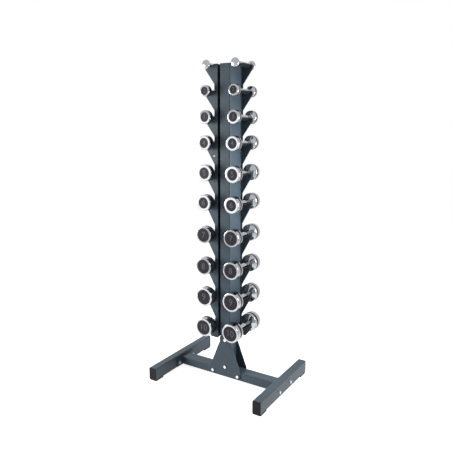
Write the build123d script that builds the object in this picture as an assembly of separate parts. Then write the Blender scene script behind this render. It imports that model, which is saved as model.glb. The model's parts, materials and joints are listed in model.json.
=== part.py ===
from build123d import *
import os
from math import acos, atan2, cos, degrees, hypot, pi, radians, sqrt, tan

# Dumbbell rack: a post on an H-shaped base, with two finned strips that carry ten pairs of dumbbells.
# Millimetres. X runs along the cross tube, Y along the feet and the dumbbells, Z up from the floor.
# The origin is on the floor, under the middle of the post.

# Feet
foot_span = 763.0  # outer face to outer face
foot_length = 589.0  # over the end plugs
foot_width = 50.0
foot_height = 76.0
foot_wall = 3.0
foot_corner_radius = 6.0
plug_flange = 4.0
plug_edge_radius = 1.3
plug_depth = 18.0
plug_clearance = 0.2
pad_length = 70.0
pad_thickness = 4.0

# Cross tube and its end plates
cross_lift = 6.0  # underside above the feet's underside
cross_height = 54.0
cross_wall = 3.0
cross_corner_radius = 5.0
end_plate_thickness = 6.0
end_plate_edge = 17.0  # from a bolt's axis to the plate's end
foot_bolt_spacing = 140.0

# Post, as deep as the cross tube
post_width = 70.0
post_wall = 3.0
post_corner_radius = 5.0
least_inside_radius = 0.75  # in the corners of any tube

# Gusset plates on the front and rear of post and cross tube
gusset_thickness = 5.0
gusset_foot_width = 208.0
gusset_neck_width = 76.0
gusset_lift = 14.0  # lower edge above the cross tube's underside
gusset_skirt_top = 70.0
gusset_flare_top = 236.0
gusset_top = 264.0
gusset_foot_bolt_spacing = 176.0
post_bolt_low = 77.0
post_bolt_high = 249.0

# Bolts, with hexagon heads and lock nuts
bolt_diameter = 10.0
bolt_hole_clearance = 0.5
bolt_head_width = 17.0
bolt_head_height = 6.5
bolt_head_chamfer = 1.2
bolt_overhang = 2.0
nut_height = 8.0
nut_thread_clearance = 0.05

# Folded strips
strip_sheet = 4.0
strip_bend_radius = 3.0
strip_bottom = 264.0
web_gap = 7.5  # between the post and a strip's web
flange_gap = 21.0  # between the post and a strip's flanges
inner_flange_width = 65.3
fin_plate_overlap = 6.8  # past the web's inner face, towards the slot beside the other strip's flange
spacer_diameter = 22.0
strip_bolt_rows = (2, 5, 8, 10)
strip_bolt_drop = 20.0  # below the row's handles

# Fins, measured outwards from the post's axis
fin_root_reach = 57.0
fin_tip_reach = 118.0
fin_tip_height = 20.0
fin_drop_share = 0.59  # of the pitch to the row below, from a fin's tip down to its root
last_fin_tip_height = 33.0
last_fin_slope = 51.5  # degrees

# Seat trays
tray_sheet = 3.0
tray_slope = 25.0  # degrees
tray_bend_radius = 3.0
tray_free_end = 50.0  # from the post's axis to the end away from the fin
seat_reach = 92.0
seat_clearance = 0.3

# Rows, counted from the top
lowest_row = 342.5  # height of the heaviest dumbbells' axis
upper_pitch = 140.0
middle_pitch = 167.0
lower_pitch = 185.0
upper_gap_count = 3
middle_gap_count = 2
lower_gap_count = 4

# Dumbbells. Row n holds a pair of n kilograms, and a head's length follows from its mass.
# The first pair has flattened balls for heads.
steel_density = 7.85e-6  # kg per cubic millimetre
grip_length = 126.0
handle_diameters = (22.0, 22.0, 25.0, 25.0, 25.0, 25.0, 28.0, 28.0, 28.0, 28.0)
head_diameters = (49.5, 61.0, 75.0, 81.0, 93.0, 92.0, 97.0, 101.0, 110.0, 110.0)
ball_row = 1
ball_collar_length = 14.0
ball_collar_step = 3.0  # in radius, from the handle
ball_edge_share = 0.65  # radius of a ball's round edge, as a share of its half length
ball_facing_radius = 4.0  # of the small flat that ends a ball
ball_mass_rounds = 4  # corrections of a ball's length towards its mass
neck_step = 4.0  # in radius, from the handle
neck_collar = 4.0
neck_cone = 9.0
shoulder_radius = 5.0
shoulder_cone_share = 0.25  # most of the cone's slant that the shoulder's curve takes
shoulder_body_share = 0.8  # most of the run behind the ring that it takes
rim_radius = 4.0
light_disc_width = 0.70  # of the head's diameter
heavy_disc_width = 0.81
heavy_from_row = 7
disc_recess = 3.0
disc_thickness = 2.2
disc_clearance = 0.15
ring_share = 0.27  # of the head's round body
ring_depth = 2.0
ring_stand = 0.4
ring_clearance = 0.1
ring_inset = 0.5  # share of the round body in front of the ring

# Places that follow from the sizes above
foot_inner_face = foot_span / 2 - foot_width
foot_axis = foot_span / 2 - foot_width / 2
foot_centre_height = pad_thickness + foot_height / 2
cross_length = 2 * (foot_inner_face - end_plate_thickness)
cross_bottom = pad_thickness + cross_lift
cross_top = cross_bottom + cross_height
cross_middle = cross_bottom + cross_height / 2
post_face = post_width / 2
gusset_face = post_face + gusset_thickness
web_inner = post_face + web_gap
web_outer = web_inner + strip_sheet
flange_inner = post_face + flange_gap
flange_outer = flange_inner + strip_sheet
hole_radius = bolt_diameter / 2 + bolt_hole_clearance
pitches = [upper_pitch] * upper_gap_count + [middle_pitch] * middle_gap_count
pitches += [lower_pitch] * lower_gap_count
row_count = len(pitches) + 1
rows = range(1, row_count + 1)


def row_height(row):
    return lowest_row + sum(pitches[row - 1 :])


def seat_bottom(row):
    radius = handle_diameters[row - 1] / 2 + seat_clearance
    return row_height(row) - radius / cos(radians(tray_slope))


def rise(distance):
    return distance * tan(radians(tray_slope))


def ledge_height(row):
    return seat_bottom(row) + rise(seat_reach - fin_root_reach)


def lip_height(row):
    return seat_bottom(row) + rise(fin_tip_reach - seat_reach)


strip_top = ledge_height(1)


def save(name, solids):
    shape = solids[0] if len(solids) == 1 else Compound(children=solids)
    export_step(shape, "parts/" + name + ".step")


def bar(section, start, direction, length, across):
    plane = Plane(origin=start, x_dir=across, z_dir=direction)
    return extrude(plane * section, length)


def rod(radius, start, direction, length):
    return extrude(Plane(origin=start, z_dir=direction) * Circle(radius), length)


def tube_section(width, height, wall, radius):
    inside_radius = max(radius - wall, least_inside_radius)
    inside = RectangleRounded(width - 2 * wall, height - 2 * wall, inside_radius)
    return RectangleRounded(width, height, radius) - inside


def plate_across(outline, y_from, y_to):
    corners = [(x, y_from, z) for x, z in outline]
    return extrude(make_face(Polyline(*corners, close=True)), y_to - y_from, dir=(0, 1, 0))


def round_corners(face, corners, radius):
    near = [face.vertices().sort_by_distance(corner)[0] for corner in corners]
    return fillet(near, radius)


def hexagon():
    return RegularPolygon(bolt_head_width / 2, 6, major_radius=False)


def hex_bolt(seat, direction, length):
    plane = Plane(origin=seat, z_dir=direction)
    blank = extrude(plane * Circle(bolt_head_width / sqrt(3)), -bolt_head_height)
    rim = blank.edges().filter_by(GeomType.CIRCLE).sort_by_distance(seat)[-1]
    head = chamfer(rim, bolt_head_chamfer) & extrude(plane * hexagon(), -bolt_head_height)
    return head + rod(bolt_diameter / 2, seat, direction, length)


def lock_nut(seat, direction):
    plane = Plane(origin=seat, z_dir=direction)
    body = extrude(plane * hexagon(), nut_height)
    return body - rod(bolt_diameter / 2 + nut_thread_clearance, seat, direction, nut_height)


# Places of the bolts
foot_bolt_places = [(side, end * foot_bolt_spacing / 2) for side in (-1, 1) for end in (-1, 1)]
gusset_bolt_places = [(0, post_bolt_low), (0, post_bolt_high)]
gusset_bolt_places += [(side * gusset_foot_bolt_spacing / 2, cross_middle) for side in (-1, 1)]
strip_bolt_heights = [row_height(row) - strip_bolt_drop for row in strip_bolt_rows]


def foot(side):
    section = tube_section(foot_width, foot_height, foot_wall, foot_corner_radius)
    length = foot_length - 2 * plug_flange
    start = (side * foot_axis, -length / 2, foot_centre_height)
    tube = bar(section, start, (0, 1, 0), length, (1, 0, 0))
    for bolt_side, y in foot_bolt_places:
        if bolt_side == side:
            tube -= rod(hole_radius, (side * foot_span / 2, y, cross_middle), (-side, 0, 0), foot_width)
    return tube


def foot_plug(side, end):
    outside = RectangleRounded(foot_width, foot_height, foot_corner_radius)
    slack = 2 * (foot_wall + plug_clearance)
    plug_radius = max(foot_corner_radius - foot_wall, least_inside_radius)
    inside = RectangleRounded(foot_width - slack, foot_height - slack, plug_radius)
    start = (side * foot_axis, end * (foot_length / 2 - plug_flange), foot_centre_height)
    flange = bar(outside, start, (0, end, 0), plug_flange, (1, 0, 0))
    rim = flange.faces().sort_by(Axis.Y)[-1 if end > 0 else 0].edges()
    return fillet(rim, plug_edge_radius) + bar(inside, start, (0, -end, 0), plug_depth, (1, 0, 0))


def foot_pad(side, end):
    middle = end * (foot_length / 2 - plug_flange - pad_length / 2)
    pad = Pos(side * foot_axis, middle, pad_thickness / 2) * Box(foot_width, pad_length, pad_thickness)
    return fillet(pad.edges().filter_by(Axis.Z), foot_corner_radius / 2)


def cross_tube():
    section = tube_section(post_width, cross_height, cross_wall, cross_corner_radius)
    start = (-cross_length / 2, 0, cross_middle)
    tube = bar(section, start, (1, 0, 0), cross_length, (0, 1, 0))
    for x, z in gusset_bolt_places:
        if z < cross_top:
            tube -= rod(hole_radius, (x, -post_face, z), (0, 1, 0), post_width)
    return tube


def end_plate(side):
    width = foot_bolt_spacing + 2 * end_plate_edge
    middle = side * (foot_inner_face - end_plate_thickness / 2)
    plate = Pos(middle, 0, cross_middle) * Box(end_plate_thickness, width, cross_height)
    plate = fillet(plate.edges().filter_by(Axis.X), cross_corner_radius)
    for bolt_side, y in foot_bolt_places:
        if bolt_side == side:
            start = (side * foot_inner_face, y, cross_middle)
            plate -= rod(hole_radius, start, (-side, 0, 0), end_plate_thickness)
    return plate


def gusset(side):
    foot_edge = gusset_foot_width / 2
    neck_edge = gusset_neck_width / 2
    right_edge = [(foot_edge, cross_bottom + gusset_lift), (foot_edge, gusset_skirt_top)]
    right_edge += [(neck_edge, gusset_flare_top), (neck_edge, gusset_top)]
    left_edge = [(-x, z) for x, z in reversed(right_edge)]
    near, far = sorted((side * post_face, side * gusset_face))
    plate = plate_across(right_edge + left_edge, near, far)
    for x, z in gusset_bolt_places:
        plate -= rod(hole_radius, (x, near, z), (0, 1, 0), gusset_thickness)
    return plate


def post():
    section = tube_section(post_width, post_width, post_wall, post_corner_radius)
    length = strip_top - plug_flange - cross_top
    tube = bar(section, (0, 0, cross_top), (0, 0, 1), length, (1, 0, 0))
    for x, z in gusset_bolt_places:
        if z > cross_top:
            tube -= rod(hole_radius, (x, -post_face, z), (0, 1, 0), post_width)
    for z in strip_bolt_heights:
        tube -= rod(hole_radius, (-post_face, 0, z), (1, 0, 0), post_width)
    return tube


def post_cap():
    slack = 2 * (post_wall + plug_clearance)
    outside = RectangleRounded(post_width, post_width, post_corner_radius)
    plug_radius = max(post_corner_radius - post_wall, least_inside_radius)
    inside = RectangleRounded(post_width - slack, post_width - slack, plug_radius)
    seat = (0, 0, strip_top - plug_flange)
    flange = bar(outside, seat, (0, 0, 1), plug_flange, (1, 0, 0))
    flange = fillet(flange.faces().sort_by(Axis.Z)[-1].edges(), plug_edge_radius)
    return flange + bar(inside, seat, (0, 0, -1), plug_depth, (1, 0, 0))


def fin_gaps():
    # Open spaces beside the fins, as outlines in X and Z, from the top down.
    outside = fin_tip_reach + strip_sheet
    above = strip_top + strip_sheet
    upper_edge = [(outside, above), (fin_root_reach, above)]
    for row in rows:
        seat = [(fin_root_reach, ledge_height(row)), (seat_reach, seat_bottom(row))]
        seat += [(fin_tip_reach, lip_height(row)), (outside, lip_height(row))]
        yield upper_edge + seat
        if row < row_count:
            tip_bottom = lip_height(row) - fin_tip_height
            root_height = tip_bottom - fin_drop_share * pitches[row - 1]
            upper_edge = [(outside, tip_bottom), (fin_tip_reach, tip_bottom), (fin_root_reach, root_height)]
    tip_bottom = lip_height(row_count) - last_fin_tip_height
    below = strip_bottom - strip_sheet
    run = (tip_bottom - below) / tan(radians(last_fin_slope))
    yield [(outside, tip_bottom), (fin_tip_reach, tip_bottom), (fin_tip_reach - run, below), (outside, below)]


def right_strip():
    inner_edge = web_outer - inner_flange_width
    plate_edge = web_inner - fin_plate_overlap
    outline = [(inner_edge, -flange_outer), (web_outer, -flange_outer), (web_outer, flange_inner)]
    outline += [(fin_tip_reach, flange_inner), (fin_tip_reach, flange_outer), (plate_edge, flange_outer)]
    outline += [(plate_edge, flange_inner), (web_inner, flange_inner)]
    outline += [(web_inner, -flange_inner), (inner_edge, -flange_inner)]
    section = make_face(Polyline(*outline, close=True))
    # The flange is folded from the web, and the fin plate is welded across the web's other edge.
    welds = [(web_outer, flange_inner), (web_inner, flange_inner)]
    section = round_corners(section, welds + [(web_inner, -flange_inner)], strip_bend_radius)
    section = round_corners(section, [(web_outer, -flange_outer)], strip_bend_radius + strip_sheet)
    strip = Pos(0, 0, strip_bottom) * extrude(section, strip_top - strip_bottom, dir=(0, 0, 1))
    for gap in fin_gaps():
        strip -= plate_across(gap, flange_inner - strip_sheet, flange_outer + strip_sheet)
    for z in strip_bolt_heights:
        strip -= rod(hole_radius, (web_inner, 0, z), (1, 0, 0), strip_sheet)
    return strip


def right_tray(row):
    ledge = ledge_height(row)
    bottom = seat_bottom(row)
    lip = lip_height(row)
    drop = tray_sheet / cos(radians(tray_slope))
    under_ledge = ledge - tray_sheet
    under_corner = seat_reach - (under_ledge - bottom + drop) / tan(radians(tray_slope))
    top = [(web_outer, ledge), (fin_root_reach, ledge), (seat_reach, bottom), (fin_tip_reach, lip)]
    under = [(fin_tip_reach, lip - drop), (seat_reach, bottom - drop)]
    under += [(under_corner, under_ledge), (web_outer, under_ledge)]
    tray = plate_across(top + under, -tray_free_end, flange_inner)
    relief = Box(2 * strip_bend_radius, 2 * strip_bend_radius, 2 * tray_sheet)
    tray -= Pos(web_outer, flange_inner, ledge - tray_sheet / 2) * relief
    long_edges = tray.edges().filter_by(Axis.Y)
    hollow = long_edges.sort_by_distance((seat_reach, 0, bottom))[0]
    crown = long_edges.sort_by_distance((fin_root_reach, 0, ledge))[0]
    return fillet([hollow, crown], tray_bend_radius)


def spacer(side, z):
    start = (side * post_face, 0, z)
    body = rod(spacer_diameter / 2, start, (side, 0, 0), web_gap)
    return body - rod(hole_radius, start, (side, 0, 0), web_gap)


def bolts_and_nuts():
    overhang = nut_height + bolt_overhang
    foot_bolts, gusset_bolts, strip_bolts, nuts = [], [], [], []
    for side, y in foot_bolt_places:
        grip = foot_width + end_plate_thickness
        foot_bolts.append(hex_bolt((side * foot_span / 2, y, cross_middle), (-side, 0, 0), grip + overhang))
        nuts.append(lock_nut((side * (foot_span / 2 - grip), y, cross_middle), (-side, 0, 0)))
    for x, z in gusset_bolt_places:
        gusset_bolts.append(hex_bolt((x, -gusset_face, z), (0, 1, 0), 2 * gusset_face + overhang))
        nuts.append(lock_nut((x, gusset_face, z), (0, 1, 0)))
    for z in strip_bolt_heights:
        strip_bolts.append(hex_bolt((web_outer, 0, z), (-1, 0, 0), 2 * web_outer + overhang))
        nuts.append(lock_nut((-web_outer, 0, z), (-1, 0, 0)))
    return foot_bolts, gusset_bolts, strip_bolts, nuts


def turned_section(outline):
    # A face to revolve about Y, from points given as (distance along Y, radius).
    return make_face(Polyline(*[(radius, y) for y, radius in outline], close=True))


def ball_section(row, half_length):
    # Two shallow caps run into a round edge without a corner, and a collar joins the inner one.
    radius = head_diameters[row - 1] / 2
    collar_radius = handle_diameters[row - 1] / 2 + ball_collar_step
    edge = ball_edge_share * half_length
    edge_reach = radius - edge
    cap = (half_length**2 + edge_reach**2 - edge**2) / (2 * (half_length - edge))
    cap_offset = cap - half_length
    edge_turn = degrees(atan2(cap_offset, edge_reach))
    collar_turn = degrees(acos(collar_radius / cap))
    facing_turn = degrees(acos(ball_facing_radius / cap))
    seat = grip_length / 2
    middle = seat + ball_collar_length - cap_offset + sqrt(cap**2 - collar_radius**2)
    inner = CenterArc((0, middle + cap_offset), cap, -collar_turn, collar_turn - edge_turn)
    rim = CenterArc((edge_reach, middle), edge, -edge_turn, 2 * edge_turn)
    outer = CenterArc((0, middle - cap_offset), cap, edge_turn, facing_turn - edge_turn)
    facing = outer @ 1
    inside = Polyline(facing, (0, facing.Y), (0, seat), (collar_radius, seat), inner @ 0)
    return make_face([inner, rim, outer, inside])


def ball_heads(row):
    handle_radius = handle_diameters[row - 1] / 2
    radius = head_diameters[row - 1] / 2
    volume = (row / steel_density - pi * handle_radius**2 * grip_length) / 2
    half_length = 3 * volume / (4 * pi * radius**2)
    head = revolve(ball_section(row, half_length), Axis.Y)
    for _ in range(ball_mass_rounds):
        half_length *= volume / head.volume
        head = revolve(ball_section(row, half_length), Axis.Y)
    return [head, head.rotate(Axis.Z, 180)], []


def round_heads(row):
    handle_radius = handle_diameters[row - 1] / 2
    radius = head_diameters[row - 1] / 2
    neck_radius = handle_radius + neck_step
    volume = (row / steel_density - pi * handle_radius**2 * grip_length) / 2
    collar_volume = pi * neck_radius**2 * neck_collar
    cone_volume = pi * neck_cone / 3 * (radius**2 + radius * neck_radius + neck_radius**2)
    body_length = (volume - collar_volume - cone_volume) / (pi * radius**2)
    seat = grip_length / 2
    cone_start = seat + neck_collar
    shoulder = cone_start + neck_cone
    end = shoulder + body_length
    ring_end = end - ring_inset * body_length
    ring_start = ring_end - ring_share * body_length
    disc_radius = radius * (heavy_disc_width if row >= heavy_from_row else light_disc_width)
    groove = radius - ring_depth
    outline = [(seat, 0), (seat, neck_radius), (cone_start, neck_radius), (shoulder, radius)]
    outline += [(ring_start, radius), (ring_start, groove), (ring_end, groove), (ring_end, radius)]
    outline += [(end, radius), (end, disc_radius), (end - disc_recess, disc_radius), (end - disc_recess, 0)]
    section = turned_section(outline)
    cone_limit = shoulder_cone_share * hypot(neck_cone, radius - neck_radius)
    body_limit = shoulder_body_share * (ring_start - shoulder)
    shoulder_round = min(shoulder_radius, cone_limit, body_limit)
    section = round_corners(section, [(radius, shoulder)], shoulder_round)
    section = round_corners(section, [(radius, end)], rim_radius)
    head = revolve(section, Axis.Y)
    disc = rod(disc_radius - disc_clearance, (0, end - disc_recess, 0), (0, 1, 0), disc_thickness)
    ring_from = ring_start + ring_clearance
    ring_to = ring_end - ring_clearance
    inside = groove + ring_clearance
    outside = radius + ring_stand
    band = [(ring_from, inside), (ring_to, inside), (ring_to, outside), (ring_from, outside)]
    ring = revolve(turned_section(band), Axis.Y)
    heads = [head, head.rotate(Axis.Z, 180)]
    rubber = [disc, ring, disc.rotate(Axis.Z, 180), ring.rotate(Axis.Z, 180)]
    return heads, rubber


def dumbbell(row):
    handle = rod(handle_diameters[row - 1] / 2, (0, -grip_length / 2, 0), (0, 1, 0), grip_length)
    heads, rubber = ball_heads(row) if row == ball_row else round_heads(row)
    return [handle] + heads, rubber


def main():
    os.makedirs("parts", exist_ok=True)
    sides = {"left": -1, "right": 1}
    for name, side in sides.items():
        save(name + "_foot", [foot(side)])
    corners = [(side, end) for side in (-1, 1) for end in (-1, 1)]
    save("foot_end_plugs", [foot_plug(side, end) for side, end in corners])
    save("foot_pads", [foot_pad(side, end) for side, end in corners])
    save("cross_tube", [cross_tube()])
    save("cross_tube_end_plates", [end_plate(side) for side in (-1, 1)])
    save("front_gusset", [gusset(-1)])
    save("rear_gusset", [gusset(1)])
    save("centre_post", [post()])
    save("post_top_cap", [post_cap()])
    strip = right_strip()
    save("right_strip", [strip])
    save("left_strip", [strip.rotate(Axis.Z, 180)])
    save("strip_spacers", [spacer(side, z) for side in (-1, 1) for z in strip_bolt_heights])
    trays = [right_tray(row) for row in rows]
    halves = {"upper": trays[: row_count // 2], "lower": trays[row_count // 2 :]}
    for half, group in halves.items():
        save("right_" + half + "_trays", group)
        save("left_" + half + "_trays", [tray.rotate(Axis.Z, 180) for tray in group])
    foot_bolts, gusset_bolts, strip_bolts, nuts = bolts_and_nuts()
    save("foot_bolts", foot_bolts)
    save("gusset_bolts", gusset_bolts)
    save("strip_bolts", strip_bolts)
    save("lock_nuts", nuts)
    for row in rows:
        steel, rubber = dumbbell(row)
        for name, side in sides.items():
            place = Pos(side * seat_reach, 0, row_height(row))
            node = "dumbbell_%02dkg_%s" % (row, name)
            save(node, [place * solid for solid in steel])
            if rubber:
                save(node + "_rubber", [place * solid for solid in rubber])


main()
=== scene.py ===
import json
import math

import bmesh
import bpy
from mathutils import Matrix, Vector


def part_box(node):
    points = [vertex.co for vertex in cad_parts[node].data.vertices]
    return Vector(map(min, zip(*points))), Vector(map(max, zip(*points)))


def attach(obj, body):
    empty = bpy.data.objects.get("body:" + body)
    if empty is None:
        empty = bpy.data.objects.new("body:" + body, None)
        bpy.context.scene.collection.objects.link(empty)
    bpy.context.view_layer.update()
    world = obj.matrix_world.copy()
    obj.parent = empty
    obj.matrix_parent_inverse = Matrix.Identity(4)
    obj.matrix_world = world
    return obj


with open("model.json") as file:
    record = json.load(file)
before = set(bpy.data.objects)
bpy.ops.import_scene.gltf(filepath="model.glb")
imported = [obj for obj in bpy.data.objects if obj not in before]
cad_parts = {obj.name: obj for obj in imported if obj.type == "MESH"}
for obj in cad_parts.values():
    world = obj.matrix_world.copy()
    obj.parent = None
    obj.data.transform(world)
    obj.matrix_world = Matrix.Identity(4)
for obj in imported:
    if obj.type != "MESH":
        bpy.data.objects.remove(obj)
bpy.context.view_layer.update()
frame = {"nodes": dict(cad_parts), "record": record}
nodes = frame["nodes"]
scene = bpy.context.scene
rows = range(1, 11)                     # a pair of dumbbells each, from 1 kg at the top to 10 kg
sides = {"left": -1, "right": 1}        # of the post, with the sign of X there
mergeGap = 1e-6                         # m, points of a mesh that are nearer than this become one
fineGap = 1e-7                          # m, the same on the small turned shapes
print("rack loaded:", len(nodes), "nodes")


def linearColour(hexText):
    channels = [int(hexText[at:at + 2], 16) / 255 for at in (1, 3, 5)]
    bent = [c / 12.92 if c <= 0.04045 else ((c + 0.055) / 1.055) ** 2.4 for c in channels]     # sRGB's curve
    return (*bent, 1.0)


def addNode(tree, kind, links=None, inputs=None, stops=None, **settings):
    node = tree.nodes.new(kind)
    for name, value in settings.items():
        setattr(node, name, value)
    for name, value in (inputs or {}).items():
        node.inputs[name].default_value = value
    for name, source in (links or {}).items():
        tree.links.new(source, node.inputs[name])
    for at, (position, hexText) in enumerate(stops or []):     # colours along a ramp
        elements = node.color_ramp.elements
        element = elements[at] if at < len(elements) else elements.new(position)
        element.position = position
        element.color = linearColour(hexText)
    return node


def newMaterial(name, hexText):
    material = bpy.data.materials.new(name)
    material.use_nodes = True
    material.diffuse_color = linearColour(hexText)
    tree = material.node_tree
    shader = tree.nodes["Principled BSDF"]
    place = addNode(tree, "ShaderNodeTexCoord").outputs["Object"]
    return material, tree, shader, place


def mottle(tree, shader, place, look):
    # soft patches over which colour and gloss drift together
    patches = addNode(tree, "ShaderNodeTexNoise", {"Vector": place},
                      {"Scale": 1 / look["patchSize"], "Detail": look["patchDetail"]})
    colour = addNode(tree, "ShaderNodeValToRGB", {"Fac": patches.outputs["Fac"]}, stops=look["tones"])
    tree.links.new(colour.outputs["Color"], shader.inputs["Base Color"])
    first, last = look.get("patchSpan", (0.0, 1.0))
    low, high = look["roughness"]
    gloss = addNode(tree, "ShaderNodeMapRange", {"Value": patches.outputs["Fac"]},
                    {"From Min": first, "From Max": last, "To Min": low, "To Max": high})
    tree.links.new(gloss.outputs["Result"], shader.inputs["Roughness"])
    return colour


# Sizes and depths in these dictionaries are in metres.
# Polyester powder coat, satin, on folded and welded steel: an even slate grey with a faint cloudiness,
# the low orange peel that the melted powder leaves, and a slightly paler line where it thins over edges.
paintLook = {
    "tones": [(0.3, "#41505b"), (0.7, "#475661")],
    "patchSize": 0.11, "patchDetail": 3.0,
    "roughness": (0.36, 0.46), "specular": 0.32,
    "peelSize": 0.0024,                 # coarser than the real 1 mm so that it shows
    "peelDetail": 1.0, "peelDepth": 0.00006, "peelStrength": 0.5,
    "edgeHex": "#6d777e", "edgeReach": 0.0016, "edgeShare": 0.45, "edgeSamples": 4,
    "edgeMatch": (0.995, 0.90),         # rounded against true normal: full coat, thinnest coat
}


def powderCoat():
    look = paintLook
    material, tree, shader, place = newMaterial("satinPowderCoat", "#44535e")
    shader.inputs["Specular IOR Level"].default_value = look["specular"]
    colour = mottle(tree, shader, place, look)
    # paint thins over an edge: the rounded normal leaves the true one there
    rounded = addNode(tree, "ShaderNodeBevel", inputs={"Radius": look["edgeReach"]},
                      samples=look["edgeSamples"])
    true = addNode(tree, "ShaderNodeNewGeometry")
    match = addNode(tree, "ShaderNodeVectorMath", {0: rounded.outputs["Normal"], 1: true.outputs["Normal"]},
                    operation="DOT_PRODUCT")
    full, thinnest = look["edgeMatch"]
    edge = addNode(tree, "ShaderNodeMapRange", {"Value": match.outputs["Value"]},
                   {"From Min": full, "From Max": thinnest, "To Min": 0.0, "To Max": look["edgeShare"]})
    edged = addNode(tree, "ShaderNodeMix", {"Factor": edge.outputs["Result"], 6: colour.outputs["Color"]},
                    {7: linearColour(look["edgeHex"])}, data_type="RGBA")
    tree.links.new(edged.outputs[2], shader.inputs["Base Color"])
    peel = addNode(tree, "ShaderNodeTexNoise", {"Vector": place},
                   {"Scale": 1 / look["peelSize"], "Detail": look["peelDetail"]})
    bump = addNode(tree, "ShaderNodeBump", {"Height": peel.outputs["Fac"]},
                   {"Strength": look["peelStrength"], "Distance": look["peelDepth"]})
    tree.links.new(bump.outputs["Normal"], shader.inputs["Normal"])
    return material


# Black coat on the seat trays: its black is painted shade for the dark under the handles. It is rubbery, with
# the soft waviness of a thick coat. Handles have polished it along the seats and left pale scuffs there.
trayShadeLook = {
    # near-black tones: painted shade for the dark under the handles
    "tones": [(0.3, "#101012"), (0.7, "#161618")],
    "patchSize": 0.03, "patchDetail": 2.0,
    "roughness": 0.52, "rubbedRoughness": 0.30, "specular": 0.22,
    "waveSize": 0.007, "waveDepth": 0.0003, "waveStrength": 0.4,
    "scuffHex": "#3a3b3e", "scuffSize": 0.006, "scuffDetail": 4.0,
    "seatReach": 0.092,                 # from the middle of the post to a handle
    "rubbedBand": (0.003, 0.016),       # from that line: all rubbed, not rubbed
}


def vinylDip():
    look = trayShadeLook
    # the trays' black material, which is painted shade
    material, tree, shader, place = newMaterial("blackVinylDip", "#131315")
    shader.inputs["Specular IOR Level"].default_value = look["specular"]
    patches = addNode(tree, "ShaderNodeTexNoise", {"Vector": place},
                      {"Scale": 1 / look["patchSize"], "Detail": look["patchDetail"]})
    colour = addNode(tree, "ShaderNodeValToRGB", {"Fac": patches.outputs["Fac"]}, stops=look["tones"])
    # how near a point is to the line where the handles lie, on either side of the post
    parts = addNode(tree, "ShaderNodeSeparateXYZ", {"Vector": place})
    out = addNode(tree, "ShaderNodeMath", {0: parts.outputs["X"]}, operation="ABSOLUTE")
    off = addNode(tree, "ShaderNodeMath", {0: out.outputs[0]}, {1: look["seatReach"]}, operation="SUBTRACT")
    away = addNode(tree, "ShaderNodeMath", {0: off.outputs[0]}, operation="ABSOLUTE")
    near, far = look["rubbedBand"]
    band = addNode(tree, "ShaderNodeMapRange", {"Value": away.outputs[0]},
                   {"From Min": near, "From Max": far, "To Min": 1.0, "To Max": 0.0})
    scuff = addNode(tree, "ShaderNodeTexNoise", {"Vector": place},
                    {"Scale": 1 / look["scuffSize"], "Detail": look["scuffDetail"]})
    worn = addNode(tree, "ShaderNodeMath", {0: band.outputs["Result"], 1: scuff.outputs["Fac"]},
                   operation="MULTIPLY")
    mixed = addNode(tree, "ShaderNodeMix", {"Factor": worn.outputs[0], 6: colour.outputs["Color"]},
                    {7: linearColour(look["scuffHex"])}, data_type="RGBA")
    tree.links.new(mixed.outputs[2], shader.inputs["Base Color"])
    gloss = addNode(tree, "ShaderNodeMapRange", {"Value": band.outputs["Result"]},
                    {"To Min": look["roughness"], "To Max": look["rubbedRoughness"]})
    tree.links.new(gloss.outputs["Result"], shader.inputs["Roughness"])
    waves = addNode(tree, "ShaderNodeTexNoise", {"Vector": place},
                    {"Scale": 1 / look["waveSize"], "Detail": 0.0})
    bump = addNode(tree, "ShaderNodeBump", {"Height": waves.outputs["Fac"]},
                   {"Strength": look["waveStrength"], "Distance": look["waveDepth"]})
    tree.links.new(bump.outputs["Normal"], shader.inputs["Normal"])
    return material


# Moulded polyethylene, black: a soft sheen broken by the fine grain of the mould.
plasticLook = {
    "tones": [(0.35, "#131215"), (0.65, "#19181b")],
    "patchSize": 0.03, "patchDetail": 2.0,
    "roughness": (0.45, 0.6), "specular": 0.18,
    "grainSize": 0.0016,                # coarser than a mould's own grain so that it shows
    "grainDepth": 0.0001, "grainStrength": 0.4,
}


def mouldedPolyethylene():
    look = plasticLook
    material, tree, shader, place = newMaterial("mouldedPolyethylene", "#161518")
    shader.inputs["Specular IOR Level"].default_value = look["specular"]
    mottle(tree, shader, place, look)
    grain = addNode(tree, "ShaderNodeTexVoronoi", {"Vector": place}, {"Scale": 1 / look["grainSize"]})
    bump = addNode(tree, "ShaderNodeBump", {"Height": grain.outputs["Distance"]},
                   {"Strength": look["grainStrength"], "Distance": look["grainDepth"]})
    tree.links.new(bump.outputs["Normal"], shader.inputs["Normal"])
    return material


# Zinc plate, bright passivated, on forged bolts: pale and shiny, with faint blue and straw patches.
zincLook = {"tones": [(0.3, "#c9d0da"), (0.55, "#d8dadb"), (0.8, "#dcd6c6")],
            "patchSize": 0.006, "patchDetail": 3.0, "roughness": (0.22, 0.36)}


def brightZinc():
    material, tree, shader, place = newMaterial("brightZincPlate", "#d3d6d9")
    shader.inputs["Metallic"].default_value = 1.0
    mottle(tree, shader, place, zincLook)
    return material


# Chrome plate, polished, on turned steel: a mirror with a cool tint. The lathe leaves faint rings under it,
# and hands leave smears that dull it a little.
chromeLook = {
    "tones": [(0.3, "#a6a9ad"), (0.7, "#b4b6b9")],
    "patchSize": 0.02, "patchDetail": 4.0,
    "patchSpan": (0.35, 0.75),          # of the noise: clean, smeared
    "roughness": (0.03, 0.10),
    "ringWidth": 0.0022,                # coarser than a lathe's feed so that it shows
    "ringDepth": 0.000004, "ringStrength": 0.3, "ringWander": 0.6, "ringDetail": 1.0,
    "wavesPerMetre": 20 / math.tau,     # what the wave texture draws at a scale of 1
}


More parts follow.
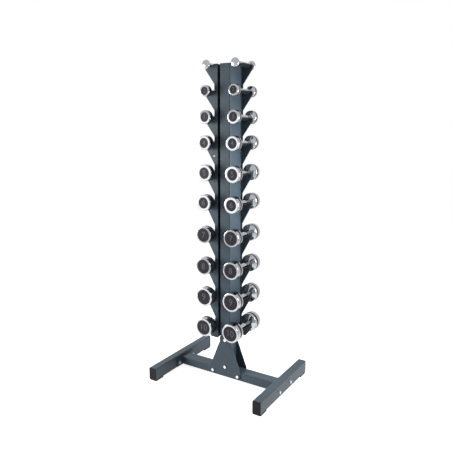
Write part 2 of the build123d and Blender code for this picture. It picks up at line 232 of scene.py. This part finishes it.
def polishedChrome():
    look = chromeLook
    material, tree, shader, place = newMaterial("polishedChromePlate", "#adb0b3")
    shader.inputs["Metallic"].default_value = 1.0
    mottle(tree, shader, place, look)
    # one wave is a turn of the lathe, along the dumbbell's own axis
    turns = addNode(tree, "ShaderNodeTexWave", {"Vector": place},
                    {"Scale": 1 / (look["ringWidth"] * look["wavesPerMetre"]),
                     "Distortion": look["ringWander"], "Detail": look["ringDetail"]}, bands_direction="Y")
    bump = addNode(tree, "ShaderNodeBump", {"Height": turns.outputs["Fac"]},
                   {"Strength": look["ringStrength"], "Distance": look["ringDepth"]})
    tree.links.new(bump.outputs["Normal"], shader.inputs["Normal"])
    return material


# Moulded vinyl rubber in the heads: charcoal with a faint plum cast, satin, with the pitting of the mould.
rubberLook = {
    "tones": [(0.3, "#1d1b23"), (0.7, "#27242d")],
    "patchSize": 0.018, "patchDetail": 3.0,
    "roughness": (0.34, 0.46), "specular": 0.22,
    "pitSize": 0.0018,                  # coarser than the real pits so that they show
    "pitDetail": 2.0, "pitDepth": 0.00008, "pitStrength": 0.5,
}


def mouldedRubber():
    look = rubberLook
    material, tree, shader, place = newMaterial("mouldedVinylRubber", "#232027")
    shader.inputs["Specular IOR Level"].default_value = look["specular"]
    mottle(tree, shader, place, look)
    pits = addNode(tree, "ShaderNodeTexNoise", {"Vector": place},
                   {"Scale": 1 / look["pitSize"], "Detail": look["pitDetail"]})
    bump = addNode(tree, "ShaderNodeBump", {"Height": pits.outputs["Fac"]},
                   {"Strength": look["pitStrength"], "Distance": look["pitDepth"]})
    tree.links.new(bump.outputs["Normal"], shader.inputs["Normal"])
    return material


# Pad-printed grey on the raised numerals: flat and chalky, thinner in places.
inkLook = {"tones": [(0.3, "#524f58"), (0.7, "#68656d")],
           "patchSize": 0.004, "patchDetail": 3.0, "roughness": (0.54, 0.66)}
# Cast nylon in the lock nuts: milky and waxy.
nylonLook = {"tones": [(0.3, "#cfcbbf"), (0.7, "#dedacf")],
             "patchSize": 0.003, "patchDetail": 3.0, "roughness": (0.39, 0.51)}


def plainCoat(name, look):
    darkest = look["tones"][0][1]
    material, tree, shader, place = newMaterial(name, darkest)
    mottle(tree, shader, place, look)
    return material


paint = powderCoat()
# the seat trays' black, which is painted shade for the dark under the handles
trayShadeBlack = vinylDip()
zinc = brightZinc()
ink = plainCoat("padPrintInk", inkLook)
nylon = plainCoat("castNylon", nylonLook)
bySlot = {"slate_paint": paint, "black_coat": trayShadeBlack, "black_plastic": mouldedPolyethylene(), "zinc": zinc,
          "chrome_steel": polishedChrome(), "black_rubber": mouldedRubber()}
for part in frame["record"]["subparts"]:
    for slot in nodes[part["node"]].material_slots:
        slot.material = bySlot[part["material_slot"]]


def plainMesh(source, name):
    # the evaluated shape as a mesh of its own, with its place in it
    bpy.context.view_layer.update()
    shape = source.evaluated_get(bpy.context.evaluated_depsgraph_get())
    mesh = bpy.data.meshes.new_from_object(shape)
    mesh.transform(source.matrix_world)
    bpy.data.objects.remove(source)
    piece = bpy.data.objects.new(name, mesh)
    scene.collection.objects.link(piece)
    return piece


def settle(piece, body):
    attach(piece, body)
    return piece


# Raised numerals on the discs, on both ends of a dumbbell
numeralLook = {
    "height": 0.34,         # of the head's diameter
    "figure": 0.7,          # of the font's size, about what a figure fills
    "rise": 0.00035, "sink": 0.0003, "edge": 0.00008, "edgeSteps": 1,
}


def numeral(text, height, place, facing):
    curve = bpy.data.curves.new("numeral", "FONT")
    curve.body = text
    curve.align_x = "CENTER"
    curve.align_y = "CENTER"
    curve.size = height / numeralLook["figure"]
    curve.extrude = (numeralLook["rise"] + numeralLook["sink"]) / 2
    curve.bevel_depth = numeralLook["edge"]
    curve.bevel_resolution = numeralLook["edgeSteps"]
    lettering = bpy.data.objects.new("numeral", curve)
    scene.collection.objects.link(lettering)
    turn = Matrix.Rotation(0 if facing < 0 else math.pi, 4, "Z") @ Matrix.Rotation(math.pi / 2, 4, "X")
    lettering.matrix_world = Matrix.Translation(place) @ turn
    return plainMesh(lettering, "numeral")


def dumbbellNumerals(row, side):
    node = "dumbbell_%02dkg_%s" % (row, side)
    low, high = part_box(node)
    discLow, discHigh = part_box(node + "_rubber")
    middle = (low + high) / 2
    height = numeralLook["height"] * (high.x - low.x)
    lift = (numeralLook["rise"] - numeralLook["sink"]) / 2
    front = numeral(str(row), height, (middle.x, discLow.y - lift, middle.z), -1)
    rear = numeral(str(row), height, (middle.x, discHigh.y + lift, middle.z), 1)
    both = bmesh.new()
    for end in (front, rear):
        both.from_mesh(end.data)
        bpy.data.objects.remove(end)
    bmesh.ops.remove_doubles(both, verts=both.verts, dist=mergeGap)
    bmesh.ops.recalc_face_normals(both, faces=both.faces)
    mesh = bpy.data.meshes.new("numerals_%02dkg_%s" % (row, side))
    both.to_mesh(mesh)
    both.free()
    mesh.materials.append(ink)
    piece = bpy.data.objects.new(mesh.name, mesh)
    scene.collection.objects.link(piece)
    return settle(piece, node)


discRows = rows[1:]         # the first pair has plain balls
for row in discRows:
    for side in sides:
        dumbbellNumerals(row, side)
print("numerals on", len(discRows) * len(sides), "dumbbells")


def geometryTree(name, sockets):
    tree = bpy.data.node_groups.new(name, "GeometryNodeTree")
    tree.interface.new_socket("Geometry", in_out="INPUT", socket_type="NodeSocketGeometry")
    for label, kind in sockets:
        tree.interface.new_socket(label, in_out="INPUT", socket_type=kind)
    tree.interface.new_socket("Geometry", in_out="OUTPUT", socket_type="NodeSocketGeometry")
    start = addNode(tree, "NodeGroupInput")
    return tree, start


def runTree(piece, tree, values, name):
    modifier = piece.modifiers.new(tree.name, "NODES")
    modifier.node_group = tree
    for item in tree.interface.items_tree:
        if item.in_out == "INPUT" and item.name in values:
            modifier[item.identifier] = values[item.name]
    return plainMesh(piece, name)


# Weld seams: a row of overlapping beads along each path, coated with the rest. Metres, on the right side
weldLook = {
    "step": 0.0030, "across": 0.0026, "along": 0.0034,      # bead to bead, and a bead's half-widths
    "beadSides": 8, "beadRings": 5,
    "webFace": 0.0465, "finFace": 0.056,                    # X and Y where the trays meet the strip
    "freeEnd": -0.050, "seamEnd": 0.050,                    # Y along the web
    "finRoot": 0.057, "finTip": 0.118, "tipGap": 0.004,     # X along the fin
    "sheet": 0.003, "slope": math.radians(25), "seatGap": 0.0003,
    "handleRadius": (0.011,) * 2 + (0.0125,) * 4 + (0.014,) * 4,
    "cornerGap": 0.004,                                     # round the cross tube's corners
}


def weldTree():
    tree, start = geometryTree("weldBeads", [("Step", "NodeSocketFloat"), ("Across", "NodeSocketFloat"),
                                             ("Along", "NodeSocketFloat"), ("Coat", "NodeSocketMaterial")])
    path = addNode(tree, "GeometryNodeMeshToCurve", {"Mesh": start.outputs["Geometry"]})
    spots = addNode(tree, "GeometryNodeCurveToPoints",
                    {"Curve": path.outputs["Curve"], "Length": start.outputs["Step"]}, mode="LENGTH")
    along = addNode(tree, "FunctionNodeAlignRotationToVector", {"Vector": spots.outputs["Tangent"]}, axis="Z")
    size = addNode(tree, "ShaderNodeCombineXYZ", {"X": start.outputs["Across"], "Y": start.outputs["Across"],
                                                  "Z": start.outputs["Along"]})
    bead = addNode(tree, "GeometryNodeMeshUVSphere",
                   inputs={"Segments": weldLook["beadSides"], "Rings": weldLook["beadRings"], "Radius": 1.0})
    soft = addNode(tree, "GeometryNodeSetShadeSmooth", {"Geometry": bead.outputs["Mesh"]})
    row = addNode(tree, "GeometryNodeInstanceOnPoints",
                  {"Points": spots.outputs["Points"], "Instance": soft.outputs["Geometry"],
                   "Rotation": along.outputs["Rotation"], "Scale": size.outputs["Vector"]})
    real = addNode(tree, "GeometryNodeRealizeInstances", {"Geometry": row.outputs["Instances"]})
    coat = addNode(tree, "GeometryNodeSetMaterial",
                   {"Geometry": real.outputs["Geometry"], "Material": start.outputs["Coat"]})
    addNode(tree, "NodeGroupOutput", {"Geometry": coat.outputs["Geometry"]})
    return tree


def pathsObject(name, paths):
    # each path is a string of edges
    mesh = bpy.data.meshes.new(name)
    points, edges = [], []
    for path in paths:
        first = len(points)
        points += path
        edges += [(at, at + 1) for at in range(first, first + len(path) - 1)]
    mesh.from_pydata(points, edges, [])
    piece = bpy.data.objects.new(name, mesh)
    scene.collection.objects.link(piece)
    return piece


def traySeams(row, side):
    look = weldLook
    low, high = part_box("dumbbell_%02dkg_%s" % (row, side))
    axis = (low + high) / 2
    reach = abs(axis.x)
    rise = math.tan(look["slope"])
    bottom = axis.z - (look["handleRadius"][row - 1] + look["seatGap"]) / math.cos(look["slope"])
    drop = look["sheet"] / math.cos(look["slope"])
    ledge = bottom + (reach - look["finRoot"]) * rise
    lip = bottom + (look["finTip"] - reach) * rise
    under = ledge - look["sheet"]
    web = [(look["webFace"], look["freeEnd"], under), (look["webFace"], look["seamEnd"], under)]
    fin = [(look["finRoot"], look["finFace"], under), (reach, look["finFace"], bottom - drop),
           (look["finTip"] - look["tipGap"], look["finFace"], lip - drop - look["tipGap"] * rise)]
    sign = sides[side]          # the left side is the right one after half a turn
    return [[(sign * x, sign * y, z) for x, y, z in seam] for seam in (web, fin)]


def crossTubeSeams():
    low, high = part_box("cross_tube")
    gap = weldLook["cornerGap"]
    seams = []
    for x in (low.x, high.x):
        seams.append([(x, low.y, low.z + gap), (x, low.y, high.z - gap), (x, low.y + gap, high.z),
                      (x, high.y - gap, high.z), (x, high.y, high.z - gap), (x, high.y, low.z + gap)])
    return seams


def weldBeads(name, seams, coat):
    sizes = {"Step": weldLook["step"], "Across": weldLook["across"], "Along": weldLook["along"], "Coat": coat}
    beads = runTree(pathsObject(name + "Paths", seams), weldTree(), sizes, name)
    settle(beads, "rack")
    print(name, len(beads.data.polygons), "faces")


seatSeams = []
for row in rows:
    for side in sides:
        seatSeams += traySeams(row, side)
weldBeads("tray_welds", seatSeams, trayShadeBlack)       # the trays' painted-shade black
weldBeads("cross_tube_welds", crossTubeSeams(), paint)


# Small round shapes set on points, each turned to its point's own facing
def placedTree():
    tree, start = geometryTree("placedShapes", [("Shape", "NodeSocketObject"),
                                                ("Coat", "NodeSocketMaterial")])
    facing = addNode(tree, "GeometryNodeInputNamedAttribute", inputs={"Name": "facing"},
                     data_type="FLOAT_VECTOR")
    turn = addNode(tree, "FunctionNodeAlignRotationToVector", {"Vector": facing.outputs["Attribute"]},
                   axis="Z")
    shape = addNode(tree, "GeometryNodeObjectInfo", {"Object": start.outputs["Shape"]})
    row = addNode(tree, "GeometryNodeInstanceOnPoints",
                  {"Points": start.outputs["Geometry"], "Instance": shape.outputs["Geometry"],
                   "Rotation": turn.outputs["Rotation"]})
    real = addNode(tree, "GeometryNodeRealizeInstances", {"Geometry": row.outputs["Instances"]})
    coat = addNode(tree, "GeometryNodeSetMaterial",
                   {"Geometry": real.outputs["Geometry"], "Material": start.outputs["Coat"]})
    addNode(tree, "NodeGroupOutput", {"Geometry": coat.outputs["Geometry"]})
    return tree


def turnedShape(name, outline, steps):
    # an outline of (radius, height) turned about Z, which is its facing
    work = bmesh.new()
    rings = []
    for radius, height in outline:
        angles = [math.tau * at / steps for at in range(steps)]
        rings.append([work.verts.new((radius * math.cos(angle), radius * math.sin(angle), height))
                      for angle in angles])
    for ring, following in zip(rings, rings[1:]):
        for at in range(steps):
            work.faces.new((ring[at - 1], ring[at], following[at], following[at - 1]))
    bmesh.ops.remove_doubles(work, verts=work.verts, dist=fineGap)
    bmesh.ops.dissolve_degenerate(work, edges=work.edges, dist=fineGap)
    bmesh.ops.recalc_face_normals(work, faces=work.faces)
    for face in work.faces:
        face.smooth = True
    mesh = bpy.data.meshes.new(name)
    work.to_mesh(mesh)
    work.free()
    shape = bpy.data.objects.new(name, mesh)
    scene.collection.objects.link(shape)
    return shape


def setShapes(name, shape, points, facings, coat, slotName):
    spots = pathsObject(name + "Points", [[point] for point in points])
    facingData = spots.data.attributes.new("facing", "FLOAT_VECTOR", "POINT")
    facingData.data.foreach_set("vector", [part for facing in facings for part in facing])
    piece = runTree(spots, placedTree(), {"Shape": shape, "Coat": coat}, name)
    bpy.data.objects.remove(shape)
    settle(piece, "rack")
    print(name, len(points))


# Nylon rings in the mouths of the lock nuts
nylonRing = {
    "radius": 0.0058, "wire": 0.0011, "back": 0.0004, "sides": 10, "steps": 24,
    "footReach": 0.2,           # m from the post: the nuts beyond are on the foot bolts
}


def looseSolids(node):
    # boxes of the separate solids in a node, from a merged copy of its mesh
    work = bmesh.new()
    work.from_mesh(nodes[node].data)
    bmesh.ops.remove_doubles(work, verts=work.verts, dist=mergeGap)
    reached = set()
    boxes = []
    for start in work.verts:
        if start in reached:
            continue
        reached.add(start)
        group = [start]
        for vert in group:          # grows while neighbours turn up
            for link in vert.link_edges:
                other = link.other_vert(vert)
                if other not in reached:
                    reached.add(other)
                    group.append(other)
        low, high = [Vector([pick(v.co[i] for v in group) for i in range(3)]) for pick in (min, max)]
        boxes.append((low, high))
    work.free()
    return boxes


def nutMouths():
    points, facings = [], []
    for low, high in looseSolids("lock_nuts"):
        size = high - low
        axis = min(range(3), key=lambda i: size[i])
        middle = (low + high) / 2
        if axis == 1:
            facing = Vector((0, 1, 0))       # gusset bolts point to the rear
        elif abs(middle.x) > nylonRing["footReach"]:
            facing = Vector((-1 if middle.x > 0 else 1, 0, 0))      # foot bolts point inwards
        else:
            facing = Vector((-1, 0, 0))      # strip bolts point to the left
        points.append(middle + facing * (size[axis] / 2 - nylonRing["back"]))
        facings.append(facing)
    return points, facings


def ringOutline():
    look = nylonRing
    angles = [math.tau * at / look["sides"] for at in range(look["sides"] + 1)]
    return [(look["radius"] + look["wire"] * math.cos(angle), look["wire"] * math.sin(angle))
            for angle in angles]


setShapes("nut_rings", turnedShape("nutRing", ringOutline(), nylonRing["steps"]), *nutMouths(),
          nylon, "black_plastic")

# A button-head screw in each fin plate, with a round socket
plateScrew = {"radius": 0.0048, "height": 0.0026, "sink": 0.0004, "socket": 0.0017, "socketDepth": 0.0015,
              "place": (0.0567, 0.060, 1.3446), "rings": 6, "steps": 24}


def screwOutline():
    look = plateScrew
    crown = math.acos(look["socket"] / look["radius"])
    outline = [(0, -look["sink"]), (look["radius"], -look["sink"])]
    for ring in range(look["rings"] + 1):
        angle = crown * ring / look["rings"]
        outline.append((look["radius"] * math.cos(angle), look["height"] * math.sin(angle)))
    floor = look["height"] * math.sin(crown) - look["socketDepth"]
    return outline + [(look["socket"], floor), (0, floor)]


x, y, z = plateScrew["place"]
setShapes("plate_screws", turnedShape("plateScrew", screwOutline(), plateScrew["steps"]),
          [(-x, -y, z), (x, y, z)], [(0, -1, 0), (0, 1, 0)], zinc, "zinc")


white = linearColour("#ffffff")


def seenBackground(tree):
    # 1 for what the camera sees, straight on, through glass or in the metal, and 0 for light on the rack
    ray = addNode(tree, "ShaderNodeLightPath")
    clear = addNode(tree, "ShaderNodeMath",
                    {0: ray.outputs["Is Camera Ray"], 1: ray.outputs["Is Transmission Ray"]},
                    operation="MAXIMUM")
    seen = addNode(tree, "ShaderNodeMath", {0: clear.outputs[0], 1: ray.outputs["Is Glossy Ray"]},
                   operation="MAXIMUM")
    return seen.outputs[0]


# Floor: plain white paper, which the metal shows as the camera does. It takes the rack's shadow, and throws
# back only the light of a duller sheet.
floorLook = {"hex": "#f4f4f4", "bounceHex": "#a8a8a8", "glow": 0.85, "roughness": 0.9, "size": 40.0}


def paleFloor():
    look = floorLook
    mesh = bpy.data.meshes.new("floor")
    half = look["size"] / 2
    corners = [(-half, -half, 0), (half, -half, 0), (half, half, 0), (-half, half, 0)]
    mesh.from_pydata(corners, [], [(0, 1, 2, 3)])
    material = bpy.data.materials.new("paperFloor")
    material.use_nodes = True
    tree = material.node_tree
    shader = tree.nodes["Principled BSDF"]
    shader.inputs["Base Color"].default_value = linearColour(look["hex"])
    shader.inputs["Roughness"].default_value = look["roughness"]
    shader.inputs["Specular IOR Level"].default_value = 0.0
    shader.inputs["Emission Color"].default_value = white
    shader.inputs["Emission Strength"].default_value = look["glow"]
    dull = addNode(tree, "ShaderNodeBsdfDiffuse", inputs={"Color": linearColour(look["bounceHex"])})
    both = addNode(tree, "ShaderNodeMixShader",
                   {0: seenBackground(tree), 1: dull.outputs[0], 2: shader.outputs[0]})
    tree.links.new(both.outputs[0], tree.nodes["Material Output"].inputs["Surface"])
    mesh.materials.append(material)
    floor = bpy.data.objects.new("floor", mesh)
    scene.collection.objects.link(floor)


# The studio: a white background, in the metal too, and a soft fill that leans a little to the right
studioLook = {"fill": 0.24, "fillWay": (0.12, 0.0, -0.10)}


def studioWorld():
    look = studioLook
    world = bpy.data.worlds.new("studio")
    world.use_nodes = True
    tree = world.node_tree
    tree.nodes.clear()
    way = addNode(tree, "ShaderNodeTexCoord").outputs["Generated"]
    lean = addNode(tree, "ShaderNodeVectorMath", {0: way}, {1: look["fillWay"]}, operation="DOT_PRODUCT")
    level = addNode(tree, "ShaderNodeMath", {0: lean.outputs["Value"]}, {1: look["fill"]}, operation="ADD")
    fill = addNode(tree, "ShaderNodeBackground", {"Strength": level.outputs[0]}, {"Color": white})
    plain = addNode(tree, "ShaderNodeBackground", inputs={"Color": white, "Strength": 1.0})
    both = addNode(tree, "ShaderNodeMixShader",
                   {0: seenBackground(tree), 1: fill.outputs[0], 2: plain.outputs[0]})
    addNode(tree, "ShaderNodeOutputWorld", {"Surface": both.outputs[0]})
    scene.world = world


# Three softboxes: a faint one in front, which the heads' flat rims show, the main one on the left and one
# on the right
lamps = {
    "frontSoftbox": {"place": (-1.334, -2.055, 1.12), "aim": (0, 0, 1.12), "size": (0.66, 1.0), "watts": 2.6},
    "leftSoftbox": {"place": (-2.119, -1.127, 1.25), "aim": (0, 0, 1.2), "size": (1.2, 1.2), "watts": 70.0},
    "rightSoftbox": {"place": (1.25, 0.2, 1.2), "aim": (0, 0, 1.2), "size": (0.5, 0.7), "watts": 23.0},
}


def addLamps():
    for name, lamp in lamps.items():
        light = bpy.data.lights.new(name, "AREA")
        light.shape = "RECTANGLE"
        light.size, light.size_y = lamp["size"]
        light.energy = lamp["watts"]
        holder = bpy.data.objects.new(name, light)
        holder.location = lamp["place"]
        way = Vector(lamp["aim"]) - Vector(lamp["place"])
        holder.rotation_euler = way.to_track_quat("-Z", "Y").to_euler()
        holder.visible_camera = False
        scene.collection.objects.link(holder)


# The photograph's own viewpoint, found from the feet, the cross tube and the rows
cameraLook = {"place": (1.5337, -2.4582, 1.4971), "turn": (79.107, 0.0, 32.276),
              "lens": 40.50, "sensor": 36.0}


def addCamera():
    camera = bpy.data.cameras.new("camera")
    camera.sensor_width = cameraLook["sensor"]
    camera.lens = cameraLook["lens"]
    holder = bpy.data.objects.new("camera", camera)
    holder.location = cameraLook["place"]
    holder.rotation_euler = [math.radians(angle) for angle in cameraLook["turn"]]
    scene.collection.objects.link(holder)
    scene.camera = holder


paleFloor()
studioWorld()
addLamps()
addCamera()
scene.view_settings.view_transform = "Standard"
print("floor, light and camera set")
